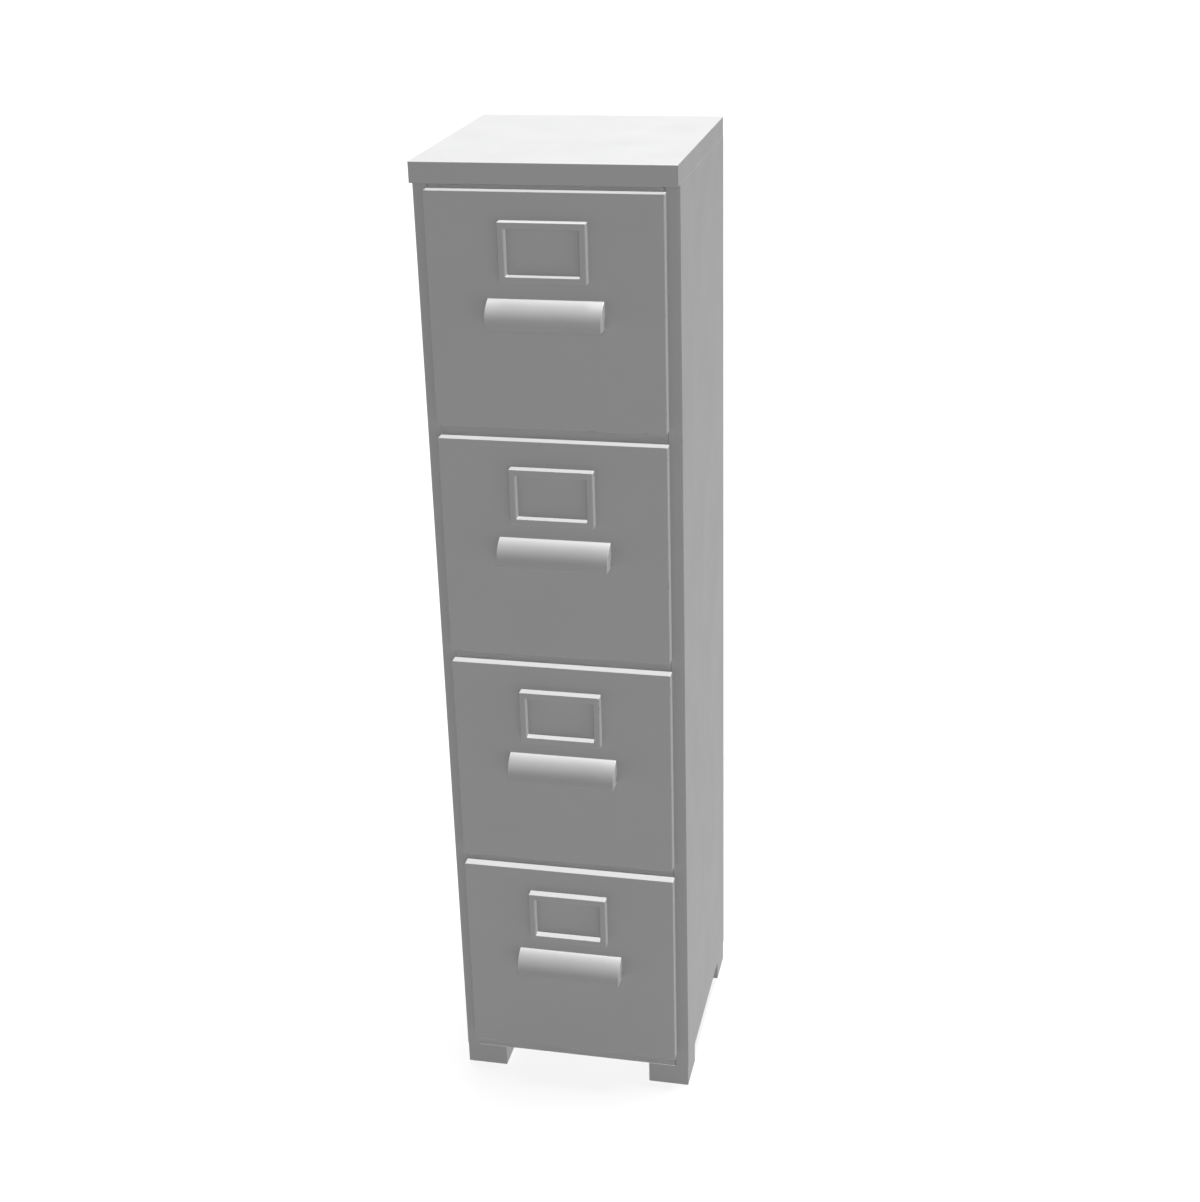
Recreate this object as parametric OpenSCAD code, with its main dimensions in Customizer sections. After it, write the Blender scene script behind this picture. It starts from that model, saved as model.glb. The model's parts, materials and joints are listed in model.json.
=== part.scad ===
// Four-drawer metal filing cabinet, made of folded sheet steel, with full-extension ball slides.
// +Z is up, the drawers face -Y and X runs across the front. The origin lies on the floor, under the
// middle of the cabinet, halfway from the noses of its pulls to its back.
// Inside the modules y = 0 is the front face of the case, and a drawer's z = 0 is the bottom of its front.

/* [Case] */
// Width of the case across the front
body_w = 330; // [270:1:460]
// Depth of the case, from its front face to its back
body_d = 330; // [260:1:600]
// Height from the floor to the top of the cap
total_h = 1326; // [1100:1:1600]
// Number of drawers
drawer_count = 4; // [2:1:4]
// Thickness of the case sheet
case_t = 1; // [0.8:0.1:1.5]
// Width of the stile folded along each side of the openings
stile_w = 18.5; // [16:0.5:30]
// Depth of the hem behind each stile
stile_d = 13; // [8:1:14]
// Depth of the rails between the openings
rail_d = 14; // [10:1:14]
// Width of the flanges folded in along the top and the back
flange_w = 14; // [12:1:18]
// Width of the flange that each foot is bolted to
base_flange_w = 20; // [17:1:30]
// Height of the edges turned up on the base pan
base_edge_h = 14; // [6:1:20]

/* [Cap] */
// Height of the cap
cap_h = 26; // [16:1:40]
// Width of the lip folded in under the cap
cap_lip = 22; // [18:1:40]
// Distance between the two screws on each side of the cap
cap_screw_pitch = 120; // [60:5:150]
// Distance of the cap screws from the side of the case
cap_screw_in = 10; // [7:0.5:11]

/* [Feet] */
// Height of the case above the floor
leg_h = 32.4; // [24:0.2:60]
// Width of a foot
foot_w = 57.5; // [50:0.5:80]
// Depth of a foot
foot_d = 59; // [56:0.5:80]
// Thickness of a foot's walls
foot_t = 1.5; // [1:0.1:2.5]
// Set-back of the feet from the faces of the case
foot_inset = 0.5; // [0.5:0.1:3]
// Height of a glide, the plastic plug in a foot
glide_h = 8; // [5:0.5:12]
// Height that a glide stands out below its foot
glide_proud = 1; // [0.5:0.1:2]
// Thread diameter of the foot bolts
bolt_d = 5; // [4:1:5]

/* [Drawers] */
// Height from the bottom of the case to the lowest drawer front
bottom_reveal = 21; // [15:0.5:60]
// Height from the highest drawer front to the cap
top_reveal = 8.2; // [4:0.2:20]
// Gap between two drawer fronts
drawer_gap = 16.8; // [8:0.2:30]
// Width of the case left showing beside the drawer fronts
side_reveal = 16.5; // [12:0.5:17.5]
// Distance that the drawer fronts stand out from the case
front_proud = 14.2; // [12:0.1:20]
// Gap between the back of a drawer front and the case
front_gap = 0.8; // [0.5:0.1:1.5]
// Distance that a drawer front overlaps the rails
front_overlap = 5; // [3:0.5:7]
// Thickness of the drawer front sheet
front_t = 1; // [0.8:0.1:1.5]
// Thickness of the sheet of the drawer body
drawer_t = 0.8; // [0.6:0.1:1.2]
// Depth of the edges folded forward on the inner front
inner_front_d = 8; // [4:0.5:8]
// Height of the drawer bottom above the bottom of its front
tray_lift = 10; // [8:0.5:20]
// Room left above the drawer sides in their opening
tray_head = 20; // [10:1:60]
// Distance that the drawer back ends below the tops of the sides
back_drop = 40; // [0:1:100]
// Width of the joining flanges folded on the drawer body and back
weld_flange = 12; // [6:1:20]
// Width of the ledge folded along the top of each drawer side
hang_ledge = 6; // [4:0.5:8]

/* [Label frame] */
// Width of the label frame
label_w = 109.5; // [80:0.5:150]
// Height of the label frame
label_h = 75; // [40:0.5:90]
// Distance that the label frame stands out from the drawer front
label_d = 11.8; // [8:0.1:14]
// Width of the label frame's bars
label_bar = 8.5; // [8:0.1:14]
// Thickness of the label frame's walls
label_t = 1; // [0.8:0.1:1.4]
// Distance from the top of the drawer front to the label frame
label_drop = 34.3; // [10:0.1:50]
// Gap behind the inner edges, which a card slips into
card_gap = 0.8; // [0.4:0.1:1.5]
// Thread diameter of the label frame's screws
label_screw_d = 3; // [2.5:0.1:3.5]

/* [Pull] */
// Width of the pull
pull_w = 146.7; // [110:0.1:180]
// Height of the pull
pull_h = 34; // [28:0.5:45]
// Distance that the pull stands out from the drawer front
pull_d = 24.3; // [20:0.1:27]
// Thickness of the pull's walls
pull_t = 1.2; // [0.8:0.1:2]
// Distance from the top of the drawer front to the pull
pull_drop = 130.9; // [120:0.1:170]
// Width of each fixing tab inside the pull
pull_tab_w = 14; // [10:0.5:20]
// Height of each fixing tab inside the pull
pull_tab_h = 17; // [12:0.5:20]
// Gap between a fixing tab and the end of the pull
pull_tab_in = 6; // [2:0.5:20]
// Thread diameter of the screws of the pull, the cap and the slides
screw_d = 4; // [3:0.1:4]

/* [Slides] */
// Height of a slide
slide_h = 45; // [40:0.5:60]
// Thickness of a slide, from its upright to the drawer
slide_w = 12.7; // [12:0.1:16]
// Thickness of the slide steel
slide_t = 1.2; // [1:0.1:1.4]
// Height of the middle of a slide above the bottom of its drawer front
slide_lift = 90; // [50:1:150]
// Set-back of the slides from the front face of the case
slide_setback = 15; // [15:0.5:25]
// Room left between the slides and the back of the case
slide_back_room = 15; // [6:0.5:40]
// Diameter of the balls
ball_d = 3.4; // [3:0.1:4.1]
// Gap between a ball and its races
ball_play = 0.3; // [0.2:0.05:0.4]
// Depth of the race cut into each flange
race_depth = 0.4; // [0.2:0.05:0.4]
// Number of balls in each row
ball_count = 5; // [3:1:8]
// Thickness of the ball cages
cage_t = 0.6; // [0.4:0.1:0.7]
// Gap between the webs that run past each other
run_gap = 0.4; // [0.3:0.05:0.5]
// Width of an upright's web
post_w = 26; // [20:1:30]
// Width of an upright's welding flanges
post_flange = 8; // [4:0.5:8]
// Distance that the uprights stand behind the edge of the opening
post_set = 1.5; // [0.5:0.1:3]

/* [Hidden] */
$fn = 64;
eps = 0.02;                 // overcut, so that a cut leaves no skin
fit_gap = 0.2;              // gap between plates that meet edge to edge
hole_play = 0.4;            // extra diameter of a clearance hole
thread_play = 0.1;          // extra diameter of a tapped hole
screw_head_h = 2.4;
screw_head_d = 1.75 * screw_d;
label_head_d = 1.9 * label_screw_d;
screw_reach = 1.4;          // length of a screw past the plate that it is tapped into
bolt_head_h = 3.5;
bolt_in = 8;                // distance of the foot bolts from the side wall
bolt_reach = 1;             // length of a bolt past its nut
nut_h = 4;
bolt_af = 1.6 * bolt_d;     // width of the bolt heads and nuts across their flats
slide_screw_d = 3.2;
slide_screw_l = 8;
label_grip = 4;             // length of the label screws inside their bosses
tip_room = 1;               // room past the tip of a screw in a blind hole
label_boss_h = 10;
ball_edge = 10;             // distance from the end of a cage to its first ball
cage_slack = 5;             // distance that a cage keeps from the ends of its races
race_side_gap = 2.8;        // distance sideways between the outer and the inner row of balls
outer_row_u = 6.2;          // distance of the outer row of balls from the upright
tip_gap = 1.4;              // distance of the flange tips from the drawer side
cage_overhang = 2;          // greatest distance that a cage's arms pass its balls
post_end_gap = 1;           // distance of the uprights from the ends of the slides
cage_hole_play = 0.2;
stop_h = 16;                // height of the stop tab at the back of a slide
stop_l = 4.5;               // length of the stop tab

half_w = body_w / 2;
body_top = total_h - cap_h;
front_y = -(body_d - front_proud - pull_d) / 2;
front_w = body_w - 2 * side_reveal;
front_h = (body_top - leg_h - bottom_reveal - top_reveal - (drawer_count - 1) * drawer_gap) / drawer_count;
drawer_pitch = front_h + drawer_gap;
first_z = leg_h + bottom_reveal;
open_half = half_w - stile_w;

slide_end = body_d - slide_back_room;
slide_len = slide_end - slide_setback;
slide_travel = slide_len;
slide_plane = open_half + post_set;
tray_half = slide_plane - slide_w;
tray_top = front_h - front_overlap - tray_head;
race_gap = ball_d + 2 * ball_play - 2 * race_depth;
outer_half = slide_h / 2;
middle_half = outer_half - slide_t - race_gap;
inner_half = middle_half - slide_t - race_gap;
outer_ball_half = outer_half - slide_t - race_gap / 2;
inner_ball_half = middle_half - slide_t - race_gap / 2;
web_step = slide_t + 2 * run_gap + cage_t;
inner_row_u = outer_row_u + race_side_gap;
flange_tip = slide_w - tip_gap;
member_len = slide_len - slide_t - run_gap;
cage_start = slide_travel / 4 + cage_slack;
cage_len = slide_travel / 2 - 2 * cage_slack;

post_total = post_w + 2 * post_flange;
post_centres = [slide_setback + post_end_gap + post_total / 2, slide_end - post_end_gap - post_total / 2];
bolt_x = half_w - case_t - bolt_in;
pull_r = (pull_d * pull_d + pull_h * pull_h) / (2 * pull_d);
pull_back = pull_r - pull_d;
pull_z = front_h - pull_drop - pull_h;
pull_screw_x = pull_w / 2 - pull_t - pull_tab_in - pull_tab_w / 2;
pull_screw_z = pull_z + pull_h - pull_tab_h / 2 - pull_t;
label_z = front_h - label_drop - label_h;
label_screw_x = label_w / 2 - label_bar / 2;
label_screw_z = label_z + label_h / 2;

enamel = [0.60, 0.60, 0.60];
zinc = [0.74, 0.75, 0.77];
bright_steel = [0.85, 0.86, 0.88];
glide_grey = [0.20, 0.20, 0.21];

CASE_NODES = ["top_cap", "left_side_panel", "right_side_panel", "back_panel", "base_pan",
              "top_rail", "middle_rails", "bottom_rail", "feet", "foot_glides", "foot_bolts", "foot_nuts",
              "slide_uprights", "slide_outer_members", "slide_screws", "cap_screws"];
DRAWER_PIECES = ["front", "inner_front", "body", "back", "pull", "label_frame", "screws",
                 "inner_slides", "middle_slides", "outer_cages", "inner_cages"];

function drawer_node(n, piece) = str("drawer_", n, "_", piece);
function drawer_z(n) = first_z + (drawer_count - n) * drawer_pitch;

// A box given by its lowest and highest corner.
module block(low, high) {
    translate(low) cube(high - low);
}

// A round pin or hole along Y, from y = from to y = to.
module y_cylinder(x, z, d, from, to) {
    translate([x, from, z]) rotate([-90, 0, 0]) cylinder(d = d, h = to - from);
}

// The children on the right, and mirrored on the left.
module both_sides() {
    children();
    mirror([1, 0, 0]) children();
}

// ---- Case ----

// A tray turned upside down, with a lip folded in all round its open underside.
module top_cap() {
    color(enamel) difference() {
        block([-half_w, -front_proud, body_top], [half_w, body_d, total_h]);
        block([-half_w + case_t, case_t - front_proud, body_top + case_t],
              [half_w - case_t, body_d - case_t, total_h - case_t]);
        block([-half_w + cap_lip, cap_lip, body_top - eps],
              [half_w - cap_lip, body_d - cap_lip, body_top + case_t + eps]);
        both_sides() cap_screw_places()
            translate([0, 0, -eps]) cylinder(d = screw_d + thread_play, h = case_t + 2 * eps);
    }
}

// The places of the cap screws on the right, at the height of the underside of the cap.
module cap_screw_places() {
    for (y = [body_d / 2 - cap_screw_pitch / 2, body_d / 2 + cap_screw_pitch / 2])
        translate([half_w - cap_screw_in, y, body_top]) children();
}

// The outline of the right side panel, seen from above: wall, stile, hem and rear flange.
module side_outline() {
    translate([half_w - case_t, 0]) square([case_t, body_d - case_t]);
    translate([half_w - stile_w, 0]) square([stile_w, case_t]);
    translate([half_w - stile_w, 0]) square([case_t, stile_d]);
    translate([half_w - flange_w, body_d - 2 * case_t]) square([flange_w, case_t]);
}

// The right side panel; the left one is its mirror image.
module side_panel() {
    difference() {
        union() {
            translate([0, 0, leg_h]) linear_extrude(body_top - leg_h) side_outline();
            block([half_w - flange_w, case_t, body_top - case_t],
                  [half_w - case_t / 2, body_d - 2 * case_t, body_top]);
            block([half_w - base_flange_w, rail_d + fit_gap, leg_h],
                  [half_w - case_t / 2, body_d - 2 * case_t, leg_h + case_t]);
        }
        cap_screw_places()
            translate([0, 0, -case_t - eps]) cylinder(d = screw_d + hole_play, h = case_t + 2 * eps);
        for (y = post_centres)
            translate([bolt_x, y, leg_h - eps]) cylinder(d = bolt_d + hole_play, h = case_t + 2 * eps);
    }
}

module right_side_panel() {
    color(enamel) side_panel();
}

module left_side_panel() {
    color(enamel) mirror([1, 0, 0]) side_panel();
}

// A flat sheet over the whole back, with a flange folded forward under the cap and under the base pan.
module back_panel() {
    color(enamel) {
        block([-half_w, body_d - case_t, leg_h], [half_w, body_d, body_top]);
        block([-half_w + flange_w + fit_gap, body_d - case_t - flange_w, body_top - case_t],
              [half_w - flange_w - fit_gap, body_d - case_t / 2, body_top]);
        block([-half_w + base_flange_w + fit_gap, body_d - case_t - flange_w, leg_h],
              [half_w - base_flange_w - fit_gap, body_d - case_t / 2, leg_h + case_t]);
    }
}

// The floor of the case, lying on the flanges of the side and back panels.
module base_pan() {
    pan_front = rail_d + fit_gap;
    pan_back = body_d - 2 * case_t;
    pan_z = leg_h + case_t;
    color(enamel) difference() {
        union() {
            block([case_t - half_w, pan_front, pan_z], [half_w - case_t, pan_back, pan_z + case_t]);
            for (y = [pan_front, pan_back - case_t])
                block([case_t - half_w, y, pan_z], [half_w - case_t, y + case_t, pan_z + base_edge_h]);
        }
        both_sides() for (y = post_centres)
            translate([bolt_x, y, pan_z - eps]) cylinder(d = bolt_d + hole_play, h = case_t + 2 * eps);
    }
}

// A rail from z = low to z = high: a channel open to the back, closed at its ends by welding flanges.
module rail(low, high) {
    color(enamel) difference() {
        block([-open_half, 0, low], [open_half, rail_d, high]);
        block([case_t - open_half, case_t, low + case_t], [open_half - case_t, rail_d + eps, high - case_t]);
    }
}

module top_rail() {
    rail(body_top - top_reveal - front_overlap, body_top);
}

module middle_rails() {
    for (n = [1 : drawer_count - 1])
        rail(drawer_z(n) - drawer_gap - front_overlap, drawer_z(n) + front_overlap);
}

module bottom_rail() {
    rail(leg_h, first_z + front_overlap);
}

// ---- Feet ----

// The children at the front and the back foot on the right, in the foot's own corner: x = 0 is the
// foot's outer face and y = 0 is its front face.
module foot_places() {
    for (y = [foot_inset, body_d - foot_inset - foot_d])
        translate([half_w - foot_inset - foot_w, y, 0]) children();
}

// Four folded boxes, open below, each bolted up through the flange of its side panel.
module feet() {
    color(enamel) both_sides() difference() {
        foot_places() difference() {
            block([0, 0, glide_proud], [foot_w, foot_d, leg_h]);
            block([foot_t, foot_t, glide_proud - eps], [foot_w - foot_t, foot_d - foot_t, leg_h - foot_t]);
        }
        for (y = post_centres)
            translate([bolt_x, y, leg_h - foot_t - eps]) cylinder(d = bolt_d + hole_play, h = foot_t + 2 * eps);
    }
}

// A plastic plug pressed into each foot, hollow above, with its underside on the floor.
module foot_glides() {
    color(glide_grey) both_sides() foot_places() difference() {
        block([foot_t, foot_t, 0], [foot_w - foot_t, foot_d - foot_t, glide_h]);
        block([2 * foot_t, 2 * foot_t, 2 * foot_t], [foot_w - 2 * foot_t, foot_d - 2 * foot_t, glide_h + eps]);
    }
}

// The bolts, from inside the feet up through the flange and the base pan.
module foot_bolts() {
    top = leg_h + 2 * case_t + nut_h + bolt_reach;
    color(zinc) both_sides() for (y = post_centres) translate([bolt_x, y, 0]) {
        translate([0, 0, leg_h - foot_t - bolt_head_h])
            cylinder(d = bolt_af / cos(30), h = bolt_head_h, $fn = 6);
        translate([0, 0, leg_h - foot_t - eps]) cylinder(d = bolt_d, h = top - leg_h + foot_t + eps);
    }
}

module foot_nuts() {
    low = leg_h + 2 * case_t;
    color(zinc) both_sides() for (y = post_centres) translate([bolt_x, y, low]) difference() {
        cylinder(d = bolt_af / cos(30), h = nut_h, $fn = 6);
        translate([0, 0, -eps]) cylinder(d = bolt_d + thread_play, h = nut_h + 2 * eps);
    }
}

// The screws up through each side panel's top flange into the lip of the cap.
module cap_screws() {
    color(zinc) both_sides() cap_screw_places() {
        translate([0, 0, -case_t - screw_head_h]) cylinder(d = screw_head_d, h = screw_head_h);
        translate([0, 0, -case_t - eps]) cylinder(d = screw_d, h = 2 * case_t + screw_reach + eps);
    }
}

// ---- Slides ----

// Four hat-section uprights, welded to the side panels, which hold the slides.
module slide_uprights() {
    low = leg_h + 2 * case_t;
    high = body_top - case_t;
    wall_x = half_w - case_t;
    color(zinc) both_sides() difference() {
        for (y = post_centres) translate([0, y, low]) linear_extrude(high - low) {
            translate([slide_plane, -post_w / 2]) square([case_t, post_w]);
            for (edge = [-post_w / 2, post_w / 2 - case_t])
                translate([slide_plane, edge]) square([wall_x - slide_plane, case_t]);
            for (edge = [-post_total / 2, post_w / 2 - case_t])
                translate([wall_x - case_t, edge]) square([case_t, post_flange + case_t]);
        }
        for (n = [1 : drawer_count]) translate([0, 0, drawer_z(n)]) slide_screw_places()
            rotate([0, 90, 0]) translate([0, 0, -eps])
                cylinder(d = slide_screw_d + thread_play, h = case_t + 2 * eps);
    }
}

// The places of a slide's screws, on the right, on the face of the upright.
module slide_screw_places() {
    for (y = post_centres) translate([slide_plane, y, slide_lift]) children();
}

// A length of slide section for the right slide. The children are drawn flat, with x as the distance from
// the upright and y as the height from the middle of the slide, and run from y = from to y = to.
module slide_length(from, to) {
    translate([slide_plane, to, slide_lift]) mirror([1, 0, 0]) rotate([90, 0, 0])
        linear_extrude(to - from) children();
}

// The flat outline of a channel: a web from x = web to x = web + slide_t and two flanges to x = tip.
module channel_outline(half, web, tip) {
    low = min(web, tip);
    high = max(web + slide_t, tip);
    translate([web, -half]) square([slide_t, 2 * half]);
    for (y = [-half, half - slide_t]) translate([low, y]) square([high - low, slide_t]);
}

// The round cuts that the balls of one row run in, above and below.
module races(u, half) {
    for (side = [-1, 1]) translate([u, side * half]) circle(d = ball_d + 2 * ball_play);
}

// The slide members screwed to the uprights, each with a stop tab bent in at its back end.
module slide_outer_members() {
    color(zinc) for (n = [1 : drawer_count]) translate([0, 0, drawer_z(n)]) both_sides() difference() {
        union() {
            slide_length(slide_setback, slide_end) difference() {
                channel_outline(outer_half, 0, flange_tip);
                races(outer_row_u, outer_ball_half);
            }
            slide_length(slide_end - slide_t, slide_end)
                translate([slide_t / 2, -stop_h / 2]) square([slide_t / 2 + stop_l, stop_h]);
        }
        slide_screw_places() rotate([0, -90, 0]) translate([0, 0, -eps])
            cylinder(d1 = slide_screw_d + hole_play, d2 = slide_screw_d + hole_play + 2 * slide_t,
                     h = slide_t + 2 * eps);
    }
}

// Countersunk screws, flush inside the outer members.
module slide_screws() {
    color(zinc) for (n = [1 : drawer_count]) translate([0, 0, drawer_z(n)]) both_sides()
        slide_screw_places() rotate([0, -90, 0]) {
            cylinder(d1 = slide_screw_d, d2 = slide_screw_d + 2 * slide_t, h = slide_t);
            translate([0, 0, -slide_screw_l]) cylinder(d = slide_screw_d, h = slide_screw_l + eps);
        }
}

// The pair of middle members, which come out half as far as the drawer.
module middle_slides() {
    color(zinc) both_sides() slide_length(slide_setback, slide_setback + member_len) difference() {
        channel_outline(middle_half, web_step, flange_tip);
        races(outer_row_u, outer_ball_half);
        races(inner_row_u, inner_ball_half);
    }
}

// The pair of inner members, welded to the sides of the drawer.
module inner_slides() {
    color(zinc) both_sides() slide_length(slide_setback, slide_setback + member_len) difference() {
        channel_outline(inner_half, slide_w - slide_t, 2 * web_step);
        races(inner_row_u, inner_ball_half);
    }
}

// A pair of ball cages with their balls: bent strips whose web is at u = web and whose arms hold two rows.
module ball_cages(web, row_u, half) {
    from = slide_setback + cage_start;
    pitch = (cage_len - 2 * ball_edge) / (ball_count - 1);
    tip = min(row_u + ball_d / 2 + cage_overhang, slide_w - run_gap);
    both_sides() {
        color(zinc) difference() {
            slide_length(from, from + cage_len) {
                translate([web, -half - cage_t / 2]) square([cage_t, 2 * half + cage_t]);
                for (side = [-1, 1])
                    translate([web, side * half - cage_t / 2]) square([tip - web, cage_t]);
            }
            ball_places(from, pitch, row_u, half)
                translate([0, 0, -cage_t]) cylinder(d = ball_d + cage_hole_play, h = 2 * cage_t);
        }
        color(bright_steel) ball_places(from, pitch, row_u, half) sphere(d = ball_d);
    }
}

// The centre of each ball of one slide, on the right.
module ball_places(from, pitch, row_u, half) {
    for (side = [-1, 1], i = [0 : ball_count - 1])
        translate([slide_plane - row_u, from + ball_edge + i * pitch, slide_lift + side * half]) children();
}

// The cages between the outer and the middle members.
module outer_cages() {
    ball_cages(slide_t + run_gap, outer_row_u, outer_ball_half);
}

// The cages between the middle and the inner members.
module inner_cages() {
    ball_cages(web_step + slide_t + run_gap, inner_row_u, inner_ball_half);
}

// ---- Drawers ----

// The places of the screws that hold the pull and the label frame, as [x, z].
function pull_screws() = [for (side = [-1, 1]) [side * pull_screw_x, pull_screw_z]];
function label_screws() = [for (side = [-1, 1]) [side * label_screw_x, label_screw_z]];

// The outer pan, with its edges folded back towards the case.
module drawer_front() {
    color(enamel) difference() {
        block([-front_w / 2, -front_proud, 0], [front_w / 2, -front_gap, front_h]);
        block([front_t - front_w / 2, front_t - front_proud, front_t],
              [front_w / 2 - front_t, eps - front_gap, front_h - front_t]);
        for (p = pull_screws())
            y_cylinder(p.x, p.y, screw_d + hole_play, -front_proud - eps, front_t + eps - front_proud);
        for (p = label_screws())
            y_cylinder(p.x, p.y, label_screw_d + hole_play, -front_proud - eps, front_t + eps - front_proud);
    }
}

// The pan that closes the back of the front and carries the drawer body.
module drawer_inner_front() {
    half = front_w / 2 - front_t;
    y_front = -front_gap - inner_front_d;
    color(enamel) difference() {
        block([-half, y_front, front_t], [half, -front_gap, front_h - front_t]);
        block([drawer_t - half, y_front - eps, front_t + drawer_t],
              [half - drawer_t, -front_gap - drawer_t, front_h - front_t - drawer_t]);
    }
}

// Bottom and both sides, folded from one sheet, with joining flanges in front and ledges along the top.
module drawer_body() {
    low = tray_lift;
    inside = tray_half - drawer_t;
    color(zinc) {
        block([-tray_half, -front_gap, low], [tray_half, slide_end, low + drawer_t]);
        block([-inside, -front_gap, low], [inside, drawer_t - front_gap, low + weld_flange]);
        both_sides() {
            block([inside, -front_gap, low], [tray_half, slide_end, tray_top]);
            block([inside - weld_flange, -front_gap, low], [tray_half, drawer_t - front_gap, tray_top]);
            block([inside, 0, tray_top - drawer_t], [tray_half + hang_ledge, slide_end, tray_top]);
            block([tray_half + hang_ledge - drawer_t, 0, tray_top - hang_ledge],
                  [tray_half + hang_ledge, slide_end, tray_top]);
        }
    }
}

// The drawer back, with flanges folded forward along the sides and the bottom.
module drawer_back() {
    low = tray_lift + drawer_t;
    high = tray_top - back_drop;
    half = tray_half - drawer_t;
    color(zinc) {
        block([-half, slide_end - drawer_t, low], [half, slide_end, high]);
        block([-half, slide_end - weld_flange, low], [half, slide_end, low + drawer_t]);
        both_sides()
            block([half - drawer_t, slide_end - weld_flange, low], [half, slide_end, high]);
    }
}

// The side view of the pull: a quarter of a round of radius r, whose centre lies behind the drawer
// front at the height of the pull's lower edge. Here x runs out from the front and y runs up.
module pull_profile(r) {
    intersection() {
        translate([-pull_back, 0]) circle(r = r);
        square([pull_d, pull_h]);
    }
}

// Turns a side view, drawn flat, into a piece of the given width, centred on x = 0.
module across(width) {
    translate([width / 2, -front_proud, 0]) mirror([0, 1, 0]) rotate([90, 0, 90])
        translate([0, 0, -width]) linear_extrude(width) children();
}

// A hood open below and towards the drawer front, closed at both ends, with two tapped tabs inside.
module drawer_pull() {
    inner_w = pull_w - 2 * pull_t;
    tab_top = pull_h - pull_t;
    color(enamel) translate([0, 0, pull_z]) difference() {
        union() {
            difference() {
                across(pull_w) pull_profile(pull_r);
                across(inner_w) translate([0, -eps]) intersection() {
                    translate([-pull_back, 0]) circle(r = pull_r - pull_t);
                    translate([-eps, 0]) square([pull_d, pull_h]);
                }
            }
            for (side = [-1, 1]) translate([side * pull_screw_x, 0, 0])
                across(pull_tab_w) intersection() {
                    pull_profile(pull_r);
                    translate([0, tab_top - pull_tab_h]) square([pull_t, pull_tab_h + pull_t]);
                }
        }
        for (p = pull_screws())
            y_cylinder(p.x, p.y - pull_z, screw_d + thread_play,
                       -front_proud - pull_t - eps, eps - front_proud);
    }
}

// A ring of channel section, open at its back, with a tapped boss in the middle of each side bar.
module drawer_label_frame() {
    inner_w = label_w - 2 * label_bar;
    inner_h = label_h - 2 * label_bar;
    face = -front_proud;
    color(enamel) translate([0, 0, label_z]) difference() {
        block([-label_w / 2, face - label_d, 0], [label_w / 2, face, label_h]);
        block([-inner_w / 2, face - label_d - eps, label_bar], [inner_w / 2, face + eps, label_h - label_bar]);
        difference() {
            block([label_t - label_w / 2, face - label_d + label_t, label_t],
                  [label_w / 2 - label_t, face + eps, label_h - label_t]);
            difference() {
                block([-inner_w / 2 - label_t, face - label_d, label_bar - label_t],
                      [inner_w / 2 + label_t, face - card_gap, label_h - label_bar + label_t]);
                block([-inner_w / 2, face - label_d, label_bar], [inner_w / 2, face, label_h - label_bar]);
            }
            both_sides()
                block([inner_w / 2 + label_t, face - label_d, label_h / 2 - label_boss_h / 2],
                      [label_w / 2, face, label_h / 2 + label_boss_h / 2]);
        }
        for (p = label_screws())
            y_cylinder(p.x, p.y - label_z, label_screw_d + thread_play, face - label_grip - tip_room, face + eps);
    }
}

// The screws of the pull and of the label frame, with their heads inside the front.
module drawer_screws() {
    seat = front_t - front_proud;
    color(zinc) {
        for (p = pull_screws()) {
            y_cylinder(p.x, p.y, screw_head_d, seat, seat + screw_head_h);
            y_cylinder(p.x, p.y, screw_d, -front_proud - pull_t - screw_reach, seat + eps);
        }
        for (p = label_screws()) {
            y_cylinder(p.x, p.y, label_head_d, seat, seat + screw_head_h);
            y_cylinder(p.x, p.y, label_screw_d, -front_proud - label_grip, seat + eps);
        }
    }
}

translate([0, front_y, 0]) {
    top_cap();
    left_side_panel();
    right_side_panel();
    back_panel();
    base_pan();
    top_rail();
    middle_rails();
    bottom_rail();
    feet();
    foot_glides();
    foot_bolts();
    foot_nuts();
    slide_uprights();
    slide_outer_members();
    slide_screws();
    cap_screws();
    for (n = [1 : drawer_count]) translate([0, 0, drawer_z(n)]) {
        drawer_front();
        drawer_inner_front();
        drawer_body();
        drawer_back();
        drawer_pull();
        drawer_label_frame();
        drawer_screws();
        inner_slides();
        middle_slides();
        outer_cages();
        inner_cages();
    }
}
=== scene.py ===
"""Four-drawer metal filing cabinet: folded sheet-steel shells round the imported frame.

Lengths are in metres, in the frame's own axes: the drawers face -Y, +X is on the right of someone who
faces them, and +Z is up. Every shell is a surface worked out on a grid: a ring or a folded strip carried
through a row of stations.
"""

import json
import logging
import math
from dataclasses import dataclass, field
from enum import Enum

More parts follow.
